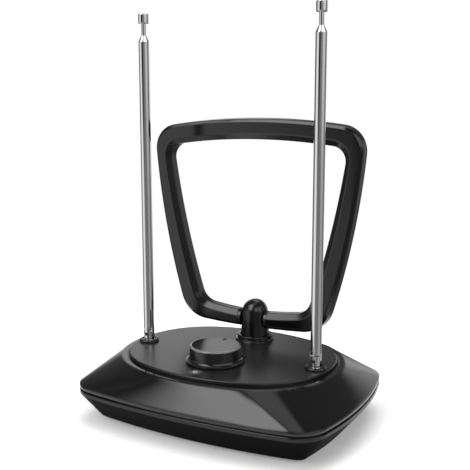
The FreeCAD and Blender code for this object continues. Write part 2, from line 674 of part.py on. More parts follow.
def make_upper_shell():
    body = start_body("upper_shell")
    band = start_sketch(body, "XY_Plane", groove_top)
    belt_oval(band, zero)
    band_pad = pad(body, band, z.slope_bottom - groove_top)
    soften(body, "Fillet", band_pad, level_edges(band_pad, "Z", groove_top), z.band_edge)
    slope_foot = start_sketch(body, "XY_Plane", z.slope_bottom)
    belt_oval(slope_foot, zero)
    slope_head = start_sketch(body, "XY_Plane", z.slope_top - z.shoulder_drop)
    plate_oval(slope_head, z.shoulder_width + z.shoulder_bevel / 2)
    loft(body, "Additive", slope_foot, slope_head)
    bevel_foot = start_sketch(body, "XY_Plane", z.slope_top - z.shoulder_drop)
    plate_oval(bevel_foot, z.shoulder_width + z.shoulder_bevel / 2)
    bevel_head = start_sketch(body, "XY_Plane", z.slope_top)
    plate_oval(bevel_head, z.shoulder_width - z.shoulder_bevel / 2)
    loft(body, "Additive", bevel_foot, bevel_head)
    hollow_foot = start_sketch(body, "XY_Plane", groove_top)
    belt_oval(hollow_foot, z.shell_wall + z.groove_depth)
    hollow_head = start_sketch(body, "XY_Plane", roof_bottom)
    plate_oval(hollow_head, z.shoulder_width - z.shell_wall)
    loft(body, "Subtractive", hollow_foot, hollow_head)
    recess = start_sketch(body, "XY_Plane", z.slope_top)
    plate_oval(recess, z.plate_gap)
    pocket(body, recess, z.slope_top - plate_bottom)
    bay_block = start_sketch(body, "XY_Plane", roof_bottom + z.shell_wall / 2)
    half_bay = z.bay_width / 2
    rectangle(bay_block, -half_bay - z.shell_wall, half_bay + z.shell_wall,
              bay_y - z.bay_wall, bay_y + z.bay_wall)
    pad(body, bay_block, roof_bottom + z.shell_wall / 2 - z.bay_bottom + z.shell_wall, reverse=True)
    bay = start_sketch(body, "XZ_Plane", -bay_y)
    rectangle(bay, -half_bay, half_bay, z.bay_bottom, bay_top)
    pocket(body, bay, z.base_depth / 2, reverse=False)
    bosses = start_sketch(body, "XY_Plane", z.boss_meet)
    circles(bosses, boss_places, z.boss_diameter / 2)
    pad(body, bosses, roof_bottom + z.shell_wall / 2 - z.boss_meet)
    pilots = start_sketch(body, "XY_Plane", z.boss_meet)
    circles(pilots, boss_places, z.screw_diameter / 2 + z.screw_clearance)
    pocket(body, pilots, z.screw_length, reverse=True)
    openings = start_sketch(body, "XY_Plane", plate_bottom)
    circles(openings, rod_places, collar_stem + z.panel_fit)
    circles(openings, [(zero, knob_y)], z.bushing_diameter / 2 + z.panel_fit)
    circles(openings, [(zero, lamp_y)], z.lamp_diameter / 2 + z.lamp_fit)
    circles(openings, [(zero, post_y)], z.stem_diameter / 2 + z.stem_fit)
    pocket(body, openings, z.shell_wall * 2)
    inlets = start_sketch(body, "XZ_Plane", -bay_y)
    circles(inlets, [(-z.inlet_place, bay_middle)], z.jack_diameter / 2 + z.panel_fit)
    circles(inlets, [(z.inlet_place, bay_middle)], z.gland_body / 2 + z.panel_fit)
    pocket(body, inlets, z.bay_wall * 2, reverse=True)


def make_top_plate():
    body = start_body("top_plate")
    outline = start_sketch(body, "XY_Plane", plate_bottom)
    plate_oval(outline, zero)
    plate = pad(body, outline, z.plate_thickness)
    soften(body, "Fillet", plate, level_edges(plate, "Z", z.plate_top), z.plate_edge)
    openings = start_sketch(body, "XY_Plane", z.plate_top)
    circles(openings, rod_places, collar_stem + z.panel_fit)
    circles(openings, [(zero, knob_y)], z.bushing_diameter / 2 + z.panel_fit)
    circles(openings, [(zero, lamp_y)], z.lamp_diameter / 2 + z.lamp_fit)
    circles(openings, [(zero, post_y)], z.stem_diameter / 2 + z.stem_fit)
    pocket(body, openings, z.plate_thickness)


def make_feet():
    radius = z.foot_diameter / 2
    height = z.foot_gap + z.foot_recess
    for name, right, back in corners:
        turned(f"foot_{name}", [
            (zero, zero), (radius - z.foot_edge, zero, z.foot_edge), (radius, z.foot_edge),
            (radius, height), (zero, height),
        ], foot_x * right, foot_y * back)


# Groups of like screws, each screw a solid of its own

def make_screws(label, places, height, shank, head, head_height, length, upward):
    screws = []
    for x, y in places:
        shaft = doc.addObject("Part::Cylinder", f"{label}_shaft")
        bind(shaft, "Radius", shank / 2)
        bind(shaft, "Height", length)
        cap = doc.addObject("Part::Cylinder", f"{label}_head")
        bind(cap, "Radius", head / 2)
        bind(cap, "Height", head_height)
        shaft_z = height if upward else height - length
        cap_z = height - head_height if upward else height
        place(shaft, x, y, shaft_z)
        place(cap, x, y, cap_z)
        screw = doc.addObject("Part::Fuse", f"{label}_screw")
        screw.Base = shaft
        screw.Tool = cap
        screws.append(screw)
    group = doc.addObject("Part::Compound", label)
    group.Label = label
    group.Links = screws
    sub_parts.append(group)


# Amplifier: board on its posts, shield can, gain control and lamp

def make_amplifier():
    board = start_body("amplifier_board")
    outline = start_sketch(board, "XY_Plane", z.board_height)
    rectangle(outline, -board_half, board_half, board_front, board_back)
    circles(outline, standoff_places, z.board_screw / 2 + z.screw_clearance)
    pad(board, outline, z.board_thickness)

    shield = start_body("amplifier_shield")
    back = board_back - z.shield_back_gap
    front = back - z.shield_depth
    half = board_half - z.shield_side_room
    can = start_sketch(shield, "XY_Plane", board_top)
    rectangle(can, -half, half, front, back)
    pad(shield, can, z.shield_height)
    inside = start_sketch(shield, "XY_Plane", board_top)
    wall = z.shield_wall
    rectangle(inside, wall - half, half - wall, front + wall, back - wall)
    pocket(shield, inside, z.shield_height - wall, reverse=True)

    control = start_body("gain_potentiometer")
    case = start_sketch(control, "XY_Plane")
    half = z.control_size / 2
    rectangle(case, -half, half, -half, half)
    pad(control, case, z.control_height)
    bushing = start_sketch(control, "XY_Plane", z.control_height)
    circles(bushing, [(zero, zero)], z.bushing_diameter / 2)
    pad(control, bushing, plate_bottom - board_top - z.control_height)
    bore = start_sketch(control, "XY_Plane", plate_bottom - board_top)
    circles(bore, [(zero, zero)], z.shaft_diameter / 2 + z.shaft_fit)
    pocket(control, bore, plate_bottom - board_top - z.control_height / 2)
    place(control, zero, knob_y, board_top)

    shaft_foot = board_top + z.control_height / 2
    shaft_length = z.plate_top + z.knob_height - z.knob_wall - shaft_foot
    radius = z.shaft_diameter / 2
    turned("potentiometer_shaft", [
        (zero, zero), (radius, zero), (radius, shaft_length), (zero, shaft_length),
    ], zero, knob_y, shaft_foot)

    lamp = z.lamp_diameter / 2
    crown = z.plate_top + z.lamp_rise - board_top
    turned("power_lamp", [(zero, zero), (z.lamp_flange / 2, zero), (z.lamp_flange / 2, z.lamp_flange_height),
                          (lamp, z.lamp_flange_height), (lamp, crown - z.lamp_rise),
                          (lamp - z.lamp_rise, crown), (zero, crown)],
           zero, lamp_y, board_top)


def make_knob():
    head = z.knob_height - z.knob_gap
    skirt = z.knob_skirt / 2
    foot = z.knob_foot / 2
    rim = z.knob_head / 2
    hub = z.knob_hub / 2
    bore = z.shaft_diameter / 2
    ceiling = head - z.knob_wall
    body = turned("gain_knob", [
        (bore, zero), (hub, zero), (hub, ceiling), (foot - z.knob_wall, ceiling), (foot - z.knob_wall, zero),
        (skirt, zero), (skirt, z.knob_skirt_height, -z.knob_flare),
        (foot, z.knob_skirt_height + z.knob_flare_height),
        (rim, head - z.knob_rim), (rim - z.knob_rim, head), (zero, head), (zero, ceiling), (bore, ceiling),
    ], zero, knob_y, z.plate_top + z.knob_gap)
    pointer = start_sketch(body, "XY_Plane", head)
    circles(pointer, [(zero, rim - z.knob_rim - z.pointer_inset)], z.pointer_diameter / 2)
    pocket(body, pointer, z.pointer_depth)


def make_ballast():
    body = start_body("ballast_plate")
    outline = start_sketch(body, "XY_Plane", floor_top)
    half_depth = z.ballast_depth / 2
    rectangle(outline, -ballast_half, ballast_half, -half_depth, half_depth)
    circles(outline, peg_places, z.peg_diameter / 2 + z.panel_fit)
    pad(body, outline, z.ballast_thickness)


# Connectors in the bay at the back; their axes run along Y

def make_connectors():
    jack = start_body("power_jack")
    inner = bay_y - z.bay_wall
    nose = start_sketch(jack, "XZ_Plane", -bay_y)
    circles(nose, [(zero, zero)], z.jack_diameter / 2)
    pad(jack, nose, z.bay_wall + z.jack_stand)
    case = start_sketch(jack, "XZ_Plane", z.jack_stand - inner)
    half = z.jack_body_width / 2
    rectangle(case, -half, half, -half, half)
    pad(jack, case, z.jack_body_length)
    bore = start_sketch(jack, "XZ_Plane", -bay_y)
    circles(bore, [(zero, zero)], z.jack_bore / 2)
    pocket(jack, bore, z.jack_depth, reverse=True)
    pin = start_sketch(jack, "XZ_Plane", z.jack_depth + z.jack_root - bay_y)
    circles(pin, [(zero, zero)], z.jack_pin / 2)
    pad(jack, pin, z.jack_depth, reverse=True)
    place(jack, -z.inlet_place, zero, bay_middle)

    gland = start_body("lead_gland")
    barrel = start_sketch(gland, "XZ_Plane", -inner)
    circles(barrel, [(zero, zero)], z.gland_body / 2)
    pad(gland, barrel, z.bay_wall, reverse=True)
    flange = start_sketch(gland, "XZ_Plane", -bay_y)
    circles(flange, [(zero, zero)], z.gland_flange / 2)
    pad(gland, flange, z.gland_flange_thickness, reverse=True)
    bore = start_sketch(gland, "XZ_Plane", -bay_y)
    circles(bore, [(zero, zero)], z.gland_bore / 2)
    pocket(gland, bore, (z.bay_wall + z.gland_flange_thickness) * 4, midplane=True)
    place(gland, z.inlet_place, zero, bay_middle)


# One rod: collar, forked swivel with its nut, hinge pin, foot, four tubes, tip rod and button

def make_rod(name, right):
    x = rod_x * right
    flange = collar_stem + z.collar_lip
    seat = z.plate_top - roof_bottom
    top = seat + z.collar_height
    turned(f"rod_collar_{name}", [
        (collar_bore, zero), (collar_stem, zero), (collar_stem, seat), (flange, seat),
        (flange, top - z.collar_edge), (flange - z.collar_edge, top), (collar_bore, top),
    ], x, rod_y, roof_bottom)

    swivel = start_body(f"rod_swivel_{name}")
    stud = z.stud_diameter / 2
    shoulder = z.nut_height + z.nut_play
    barrel = z.swivel_diameter / 2
    stub = barrel - z.stub_step
    foot_z = roof_bottom - shoulder - z.nut_play
    collar_top = z.plate_top + z.collar_height - foot_z
    hinge = hinge_z - foot_z
    fork_top = hinge + z.cheek_radius
    revolve(swivel, [(zero, zero), (stud, zero), (stud, shoulder), (barrel, shoulder), (barrel, collar_top),
                     (stub, collar_top), (stub, fork_top), (zero, fork_top)])
    slot = start_sketch(swivel, "YZ_Plane")
    half_slot = z.tongue_thickness / 2 + z.tongue_fit
    slot_foot = hinge - z.cheek_radius - z.shoulder_clear
    rectangle(slot, -half_slot, half_slot, slot_foot, fork_top + z.cheek_radius)
    pocket(swivel, slot, z.swivel_diameter * 2, midplane=True)
    rounding = start_sketch(swivel, "XZ_Plane")
    cheek = z.cheek_radius
    outside = z.swivel_diameter
    polygon(rounding, [(cheek, hinge), (outside, hinge), (outside, fork_top + outside),
                       (-outside, fork_top + outside), (-outside, hinge),
                       (-cheek, hinge, -cheek), (zero, fork_top, -cheek)])
    pocket(swivel, rounding, z.swivel_diameter * 2, midplane=True)
    hole = start_sketch(swivel, "XZ_Plane")
    circles(hole, [(zero, hinge)], z.hinge_pin / 2)
    pocket(swivel, hole, z.swivel_diameter * 2, midplane=True)
    place(swivel, x, rod_y, foot_z)

    nut = start_body(f"swivel_nut_{name}")
    hexagon = start_sketch(nut, "XY_Plane")
    reach = z.nut_flats / math.sqrt(3.0)
    flat = z.nut_flats / 2
    polygon(hexagon, [(reach, zero), (reach / 2, flat), (-reach / 2, flat),
                      (-reach, zero), (-reach / 2, -flat), (reach / 2, -flat)])
    circles(hexagon, [(zero, zero)], stud)
    pad(nut, hexagon, z.nut_height)
    place(nut, x, rod_y, foot_z + z.nut_play)

    pin = start_body(f"hinge_pin_{name}")
    section = start_sketch(pin, "XZ_Plane")
    circles(section, [(zero, zero)], z.hinge_pin / 2)
    pad(pin, section, stub * 2, midplane=True)
    place(pin, x, rod_y, hinge_z)

    tube_radii = [z.tube_first / 2]
    bores = []
    for stage in range(4):
        bores.append(tube_radii[stage] - z.tube_wall)
        tube_radii.append(bores[stage] - z.slide_gap)
    foot = start_body(f"rod_foot_{name}")
    under = z.cheek_radius + z.shoulder_clear
    over = under + z.foot_height
    spigot = bores[0] - z.spigot_fit
    head = over + z.spigot_height
    revolve(foot, [(zero, under), (tube_radii[0], under), (tube_radii[0], over), (spigot, over),
                   (spigot, head), (zero, head)])
    tongue = start_sketch(foot, "XZ_Plane")
    polygon(tongue, [(cheek, zero), (cheek, under + z.foot_height / 2), (-cheek, under + z.foot_height / 2),
                     (-cheek, zero, cheek), (zero, -cheek, cheek)])
    pad(foot, tongue, z.tongue_thickness, midplane=True)
    eye = start_sketch(foot, "XZ_Plane")
    circles(eye, [(zero, zero)], z.hinge_pin / 2 + z.pin_fit)
    pocket(foot, eye, z.tongue_thickness * 2, midplane=True)
    place(foot, x, rod_y, hinge_z)

    button_top = z.plate_top + z.rod_height
    tip_top = button_top - z.button_height
    tube_ends = [tip_top - z.tip_shown - z.stage_step * (3 - stage) for stage in range(4)]
    tube_feet = [hinge_z + over]
    tube_feet.append(tube_feet[0] + z.spigot_height + z.nest_step)
    for stage in range(2, 5):
        tube_feet.append(tube_feet[-1] + z.nest_step)
    for stage in range(4):
        length = tube_ends[stage] - tube_feet[stage]
        outer = tube_radii[stage]
        bore = bores[stage]
        mouth = tube_radii[stage + 1] + z.mouth_gap
        neck = length - z.mouth_height
        profile = [(bore, zero), (outer, zero)]
        if stage > 0:
            bush = bores[stage - 1] - z.bush_gap
            profile = [(bore, zero), (bush, zero), (bush, z.bush_height),
                       (outer, z.bush_height + z.slide_gap)]
        profile += [(outer, neck), (mouth + z.mouth_lip, length), (mouth, length), (bore, neck)]
        turned(f"rod_tube_{stage + 1}_{name}", profile, x, rod_y, tube_feet[stage])

    tip = tube_radii[4]
    bush = bores[3] - z.bush_gap
    length = tip_top + z.button_socket - tube_feet[4]
    turned(f"tip_rod_{name}", [
        (zero, zero), (bush, zero), (bush, z.bush_height), (tip, z.bush_height + z.slide_gap),
        (tip, length), (zero, length),
    ], x, rod_y, tube_feet[4])

    button = z.button_diameter / 2
    edge = z.button_edge
    turned(f"tip_button_{name}", [
        (tip, zero), (button - edge, zero, edge), (button, edge),
        (button, z.button_height - edge, edge), (button - edge, z.button_height),
        (zero, z.button_height), (zero, z.button_socket), (tip, z.button_socket),
    ], x, rod_y, tip_top)


# Loop: flange, swivelling domed post with its clip, pivot pin and washers, two half shells, metal strip

def make_post():
    foot = z.post_foot / 2
    dome = z.post_head / 2
    inner = foot + z.ring_gap
    lip = z.ring_diameter / 2
    wall = lip - z.ring_step
    turned("post_ring", [
        (inner, zero), (lip, zero), (lip, z.ring_lip), (wall, z.ring_lip + z.ring_edge),
        (wall - z.ring_edge, z.ring_height - z.ring_edge), (wall - z.ring_edge * 2, z.ring_height),
        (inner, z.ring_height),
    ], zero, post_y, z.plate_top)

    post = start_body("loop_post")
    stem = z.stem_diameter / 2
    neck = stem - z.clip_groove
    clip_top = roof_bottom - z.clip_play
    clip_bottom = clip_top - z.clip_thickness
    stem_foot = clip_bottom - z.clip_thickness
    shoulder = z.plate_top + z.post_gap
    head = z.plate_top + z.post_height
    revolve(post, [(zero, stem_foot), (stem, stem_foot), (stem, clip_bottom), (neck, clip_bottom),
                   (neck, clip_top), (stem, clip_top), (stem, shoulder), (foot, shoulder),
                   (dome, head - dome, dome), (zero, head)])
    for outward in (False, True):
        flat = start_sketch(post, "YZ_Plane", -z.post_flat if outward else z.post_flat)
        circles(flat, [(zero, pivot_z)], z.washer_diameter / 2 + z.flat_room)
        pocket(post, flat, z.post_foot, reverse=not outward)
    bore = start_sketch(post, "YZ_Plane")
    circles(bore, [(zero, pivot_z)], z.pivot_diameter / 2 + z.pin_fit)
    pocket(post, bore, z.post_foot * 2, midplane=True)
    place(post, zero, post_y, zero)

    clip = z.clip_diameter / 2
    turned("post_clip", [(neck, zero), (clip, zero), (clip, z.clip_thickness), (neck, z.clip_thickness)],
           zero, post_y, clip_bottom)


def cut_bar_gap(body, half_width):
    gap = start_sketch(body, "XZ_Plane")
    rectangle(gap, -half_width, half_width, z.loop_foot - z.bar_foot / 2, z.loop_foot + z.bar_foot * 1.5)
    pocket(body, gap, z.bar_depth * 2, midplane=True)


def make_loop():
    half_depth = z.bar_depth / 2
    bar_end = z.post_flat + z.washer_gap * 2 + z.washer_thickness
    third = 1.0 / 3.0
    for name, toward_back in (("loop_front_shell", False), ("loop_rear_shell", True)):
        body = start_body(name)
        ring = start_sketch(body, "XZ_Plane")
        loop_oval(ring, 0.0, zero)
        loop_oval(ring, 1.0, zero)
        shell = pad(body, ring, half_depth, reverse=toward_back)
        face = half_depth if toward_back else -half_depth
        if toward_back:
            outside = soften(body, "Chamfer", shell, rim_edges(shell, "Y", face, True), z.back_chamfer)
            opening = rim_edges(outside, "Y", face, False)
            soften(body, "Chamfer", outside, opening, z.back_edge)
        else:
            soften(body, "Chamfer", shell, level_edges(shell, "Y", face), z.bar_chamfer)
        channel = start_sketch(body, "XZ_Plane")
        loop_oval(channel, third, -z.element_fit)
        loop_oval(channel, 2.0 * third, z.element_fit)
        pocket(body, channel, z.element_thickness / 2, reverse=not toward_back)
        cut_bar_gap(body, bar_end)
        bore = start_sketch(body, "YZ_Plane")
        circles(bore, [(zero, pivot_z)], z.pivot_diameter / 2)
        pocket(body, bore, z.pivot_length, midplane=True)
        place(body, zero, post_y, zero)

    element = start_body("loop_element")
    strip = start_sketch(element, "XZ_Plane")
    loop_oval(strip, third, zero)
    loop_oval(strip, 2.0 * third, zero)
    pad(element, strip, z.element_thickness, midplane=True)
    cut_bar_gap(element, z.pivot_length / 2 + z.washer_gap)
    place(element, zero, post_y, zero)

    pin = start_body("loop_pivot_pin")
    section = start_sketch(pin, "YZ_Plane")
    circles(section, [(zero, zero)], z.pivot_diameter / 2)
    pad(pin, section, z.pivot_length, midplane=True)
    place(pin, zero, post_y, pivot_z)

    for name, right in sides:
        washer = start_body(f"friction_washer_{name}")
        disc = start_sketch(washer, "YZ_Plane")
        circles(disc, [(zero, zero)], z.washer_diameter / 2)
        circles(disc, [(zero, zero)], z.pivot_diameter / 2)
        pad(washer, disc, z.washer_thickness, midplane=True)
        middle = z.post_flat + z.washer_gap + z.washer_thickness / 2
        place(washer, middle * right, post_y, pivot_z)


make_lower_shell()
make_upper_shell()
make_top_plate()
make_feet()
case_screw_z = z.foot_gap + z.screw_seat
make_screws("case_screws", boss_places, case_screw_z, z.screw_diameter, z.screw_head,
            z.screw_head_height, z.screw_length, True)
make_ballast()
make_amplifier()
make_screws("board_screws", standoff_places, board_top, z.board_screw, z.board_screw_head,
            z.board_thickness, z.board_screw_length, False)
make_knob()
make_connectors()
for rod_name, rod_side in sides:
    make_rod(rod_name, rod_side)
make_post()
make_loop()
doc.recompute()

for thing in doc.Objects:
    if "Invalid" in thing.State or "Error" in thing.State:
        raise RuntimeError(f"{thing.Name} did not build: {thing.State}")
for sub_part in sub_parts:
    if sub_part.Shape.isNull() or not sub_part.Shape.isValid():
        raise RuntimeError(f"{sub_part.Label} has no sound shape")

os.makedirs("parts", exist_ok=True)
for sub_part in sub_parts:
    sub_part.Shape.exportStep(f"parts/{sub_part.Label}.step")
    print(sub_part.Label, len(sub_part.Shape.Solids), round(sub_part.Shape.Volume, 1))
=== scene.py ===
import bpy
import json
import math
import numpy as np
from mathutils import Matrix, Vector


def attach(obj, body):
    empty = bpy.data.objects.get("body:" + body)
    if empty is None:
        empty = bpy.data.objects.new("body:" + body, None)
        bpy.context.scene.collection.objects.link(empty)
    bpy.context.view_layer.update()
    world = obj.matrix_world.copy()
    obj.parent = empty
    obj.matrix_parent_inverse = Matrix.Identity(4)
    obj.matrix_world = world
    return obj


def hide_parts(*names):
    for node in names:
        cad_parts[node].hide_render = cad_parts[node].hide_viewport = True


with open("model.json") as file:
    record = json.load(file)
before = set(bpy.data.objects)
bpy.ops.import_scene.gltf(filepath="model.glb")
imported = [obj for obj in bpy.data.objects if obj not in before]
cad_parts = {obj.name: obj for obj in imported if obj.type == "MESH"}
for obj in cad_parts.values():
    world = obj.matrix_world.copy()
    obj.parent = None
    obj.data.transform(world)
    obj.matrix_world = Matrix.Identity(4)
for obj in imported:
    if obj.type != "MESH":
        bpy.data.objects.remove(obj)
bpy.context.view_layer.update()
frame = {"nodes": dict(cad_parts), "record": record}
nodes = frame["nodes"]
scene = bpy.context.scene
mm = 0.001
print("frame loaded:", len(nodes), "nodes")


# a socket that can be added, subtracted, multiplied and divided like a number
class Sock:
    def __init__(self, graph, socket):
        self.graph = graph
        self.socket = socket

    def math(self, operation, left, right=0.0):
        return self.graph.node("ShaderNodeMath", {"operation": operation}, {0: left, 1: right})

    def __add__(self, other):
        return self.math("ADD", self, other)

    def __radd__(self, other):
        return self.math("ADD", other, self)

    def __sub__(self, other):
        return self.math("SUBTRACT", self, other)

    def __rsub__(self, other):
        return self.math("SUBTRACT", other, self)

    def __mul__(self, other):
        return self.math("MULTIPLY", self, other)

    def __rmul__(self, other):
        return self.math("MULTIPLY", other, self)

    def __truediv__(self, other):
        return self.math("DIVIDE", self, other)

    def __rtruediv__(self, other):
        return self.math("DIVIDE", other, self)

    # smooth step from 0 at low to 1 at high; low above high makes it fall
    def step(self, low, high):
        rising = min(low, high), max(low, high)
        settings = {"interpolation_type": "SMOOTHSTEP", "clamp": True}
        ends = (0.0, 1.0) if low < high else (1.0, 0.0)
        sockets = {0: self, 1: rising[0], 2: rising[1], 3: ends[0], 4: ends[1]}
        return self.graph.node("ShaderNodeMapRange", settings, sockets)


# a node tree, with one method for every kind of node
class Graph:
    def __init__(self, tree):
        self.tree = tree
        tree.nodes.clear()

    def node(self, kind, settings=None, sockets=None, out=0):
        made = self.tree.nodes.new(kind)
        for key, value in (settings or {}).items():
            setattr(made, key, value)
        for key, value in (sockets or {}).items():
            if isinstance(value, Sock):
                self.tree.links.new(value.socket, made.inputs[key])
            else:
                made.inputs[key].default_value = value
        if not made.outputs:
            return None
        if isinstance(out, tuple):                           # several outputs by name
            return [Sock(self, made.outputs[name]) for name in out]
        return Sock(self, made.outputs[out])

    def split(self, vector):
        return self.node("ShaderNodeSeparateXYZ", {}, {0: vector}, ("X", "Y", "Z"))

    def place(self):                                         # where on the piece, in metres
        return self.node("ShaderNodeTexCoord", out="Object")

    def noise(self, scale, detail=3.0, stretch=(1.0, 1.0, 1.0)):
        mapped = self.node("ShaderNodeMapping", {}, {"Vector": self.place(), "Scale": stretch})
        return self.node("ShaderNodeTexNoise", {}, {"Vector": mapped, "Scale": scale, "Detail": detail})

    def mix(self, factor, low, high):                        # sockets 6, 7 and output 2 are the colours
        return self.node("ShaderNodeMix", {"data_type": "RGBA"}, {0: factor, 6: low, 7: high}, 2)

    # rounded-edge normal, and how far it leans away from the flat face: 0 on flats, up to 0.3 on edges
    def edge(self, radius):
        rounded = self.node("ShaderNodeBevel", {"samples": 6}, {"Radius": radius})
        flat = self.node("ShaderNodeNewGeometry", out="Normal")
        lean = self.node("ShaderNodeVectorMath", {"operation": "DOT_PRODUCT"}, {0: rounded, 1: flat}, "Value")
        return rounded, 1.0 - lean

    def close(self, shader):
        self.node("ShaderNodeOutputMaterial", {}, {"Surface": shader})


def newMaterial(name):
    material = bpy.data.materials.new(name)
    material.use_nodes = True
    return material, Graph(material.node_tree)


def grey(tone, blue=1.03):
    return (tone, tone, tone * blue, 1.0)


# moulded plastics: all near black, told apart by gloss, mould grain and edge rounding (edge in mm)
plastics = {
    "shell_gloss": dict(dark=0.0030, pale=0.0042, rough=0.05, spread=0.03, grain=2400, bump=0.004, edge=2.4),
    "shell_matte": dict(dark=0.0020, pale=0.0034, rough=0.48, spread=0.10, grain=1900, bump=0.10, edge=0.3,
                        shine=0.012, band=(0.0193, 0.0199), bandCoat=0.7, bandRough=0.06),
    "plate_satin": dict(dark=0.0060, pale=0.0085, rough=0.29, spread=0.05, grain=2600, bump=0.04, edge=0.5),
    "loop_black": dict(dark=0.0022, pale=0.0034, rough=0.16, spread=0.06, grain=2200, bump=0.04, edge=0.0),
    "post_black": dict(dark=0.0032, pale=0.0046, rough=0.18, spread=0.06, grain=2200, bump=0.04, edge=0.7),
    # the knob's rim value is the tone of the highlight painted round its top edge
    "knob_black": dict(dark=0.0045, pale=0.0062, rough=0.17, spread=0.05, grain=2600, bump=0.03, edge=0.0,
                       rim=0.18),
    "collar_black": dict(dark=0.0045, pale=0.0060, rough=0.30, spread=0.06, grain=2200, bump=0.04, edge=0.8),
    "connector_black": dict(dark=0.0050, pale=0.0070, rough=0.38, spread=0.08, grain=1800, bump=0.06,
                            edge=0.2),
    "rubber": dict(dark=0.0080, pale=0.0130, rough=0.70, spread=0.12, grain=1300, bump=0.15, edge=0.3,
                   shine=0.3),
}

# what the plastics share: clouds in the tone, depth of the mould grain in metres, edges that handling has
# dulled in spots, and how patchy the painted highlight on the knob's rim is
wear = dict(clouds=38.0, grainDetail=2.0, grainDeep=0.0002, lean=(0.02, 0.25), spots=420.0,
            spotEdge=(0.42, 0.68), share=0.5, paler=2.4, duller=0.08, rimHighlightSpots=300.0, rimHighlightLeast=0.6)


# a green halo round the lamp, on the plate
halo = dict(on="plate_satin", place=(0.0, -0.0474), reach=0.0062, light=(0.075, 0.094, 0.066, 1.0))


# light that falls off from the lamp's axis as a smooth step of the squared distance
def haloLight(graph, h):
    x, y, z = graph.split(graph.place())
    overX = x - h["place"][0]
    overY = y - h["place"][1]
    near = ((overX * overX + overY * overY) / h["reach"] ** 2).step(1.0, 0.0)
    return graph.mix(near * near, (0.0, 0.0, 0.0, 1.0), h["light"])


def makePlastic(name, p, w):
    material, graph = newMaterial(name)
    broad = graph.noise(w["clouds"])
    tone = graph.mix(broad, grey(p["dark"]), grey(p["pale"]))
    rough = p["rough"] + (broad - 0.5) * p["spread"]
    grain = graph.noise(p["grain"], w["grainDetail"])
    bump = {"Strength": p["bump"], "Distance": w["grainDeep"], "Height": grain}
    if p["edge"] > 0.0:
        rounded, lean = graph.edge(p["edge"] * mm)
        rub = lean.step(*w["lean"]) * graph.noise(w["spots"]).step(*w["spotEdge"])
        tone = graph.mix(rub * w["share"], tone, grey(p["pale"] * w["paler"]))
        rough = rough + rub * w["duller"]
        bump["Normal"] = rounded
    if "rim" in p:                                           # painted highlight round the knob's rim: a paler tone in uneven patches
        rimHighlight = graph.node("ShaderNodeAttribute", {"attribute_name": "rim"}, {}, "Fac")
        uneven = w["rimHighlightLeast"] + (1.0 - w["rimHighlightLeast"]) * graph.noise(w["rimHighlightSpots"])
        tone = graph.mix(rimHighlight * uneven, tone, grey(p["rim"]))
    sockets = {"Base Color": tone, "Roughness": rough, "Normal": graph.node("ShaderNodeBump", {}, bump),
               "Specular IOR Level": p.get("shine", 0.5)}
    if "band" in p:                                          # polished band above the grained slope
        x, y, z = graph.split(graph.place())
        sockets["Coat Weight"] = z.step(*p["band"]) * p["bandCoat"]
        sockets["Coat Roughness"] = p["bandRough"]
    if name == halo["on"]:
        sockets["Emission Color"] = haloLight(graph, halo)
        sockets["Emission Strength"] = 1.0
    graph.close(graph.node("ShaderNodeBsdfPrincipled", {}, sockets))
    return material


# metals: chrome on the rods, plated and plain steel inside, brass strip
metals = {
    "chrome": dict(low=0.62, high=0.68, tint=(1.0, 1.0, 1.01), rough=0.10, spread=0.05, edge=0.06),
    "pin_dark": dict(low=0.045, high=0.08, tint=(1.0, 1.0, 1.0), rough=0.35, spread=0.10, edge=0.15),
    "screw_steel": dict(low=0.35, high=0.46, tint=(1.0, 1.0, 1.02), rough=0.35, spread=0.10, edge=0.2),
    "tinned_steel": dict(low=0.55, high=0.68, tint=(1.0, 1.0, 0.99), rough=0.30, spread=0.10, edge=0.2),
    "ballast_steel": dict(low=0.25, high=0.35, tint=(1.0, 0.98, 0.96), rough=0.45, spread=0.12, edge=0.3),
    "element_brass": dict(low=0.60, high=0.74, tint=(1.0, 0.73, 0.36), rough=0.30, spread=0.10, edge=0.2),
}

# what the metals share: faint lines drawn out along the tube, and smudges
drawing = dict(lines=240.0, detail=3.0, stretch=(1.0, 1.0, 0.03), smudges=60.0)


def makeMetal(name, p, d):
    material, graph = newMaterial(name)
    drawn = graph.noise(d["lines"], d["detail"], d["stretch"])
    smudge = graph.noise(d["smudges"])
    low = [p["low"] * t for t in p["tint"]]
    high = [p["high"] * t for t in p["tint"]]
    tone = graph.mix(drawn, (*low, 1.0), (*high, 1.0))
    rough = p["rough"] + (drawn - 0.5) * p["spread"] + (smudge - 0.5) * p["spread"]
    rounded, lean = graph.edge(p["edge"] * mm)
    graph.close(graph.node("ShaderNodeBsdfPrincipled", {}, {
        "Base Color": tone, "Metallic": 1.0, "Roughness": rough, "Normal": rounded}))
    return material


# green board with copper runs under its lacquer
boardFinish = dict(bare=(0.010, 0.055, 0.020, 1.0), track=(0.018, 0.085, 0.030, 1.0), scale=180.0, detail=1.0,
                   trackEdge=(0.50, 0.53), rough=0.35, trackRough=0.1)


def makeBoard(name, p):
    material, graph = newMaterial(name)
    tracks = graph.noise(p["scale"], p["detail"]).step(*p["trackEdge"])
    tone = graph.mix(tracks, p["bare"], p["track"])
    rough = p["rough"] + tracks * p["trackRough"]
    graph.close(graph.node("ShaderNodeBsdfPrincipled", {}, {"Base Color": tone, "Roughness": rough}))
    return material


# pale green lens, lit from below
lampFinish = dict(dim=(0.11, 0.145, 0.095, 1.0), bright=(0.20, 0.255, 0.18, 1.0), light=0.35, clouds=500.0,
                  rough=0.18, spread=0.12)


def makeLamp(name, p):
    material, graph = newMaterial(name)
    cloud = graph.noise(p["clouds"])
    tone = graph.mix(cloud, p["dim"], p["bright"])
    rough = p["rough"] + cloud * p["spread"]
    graph.close(graph.node("ShaderNodeBsdfPrincipled", {}, {
        "Base Color": tone, "Roughness": rough, "Emission Color": tone, "Emission Strength": p["light"]}))
    return material


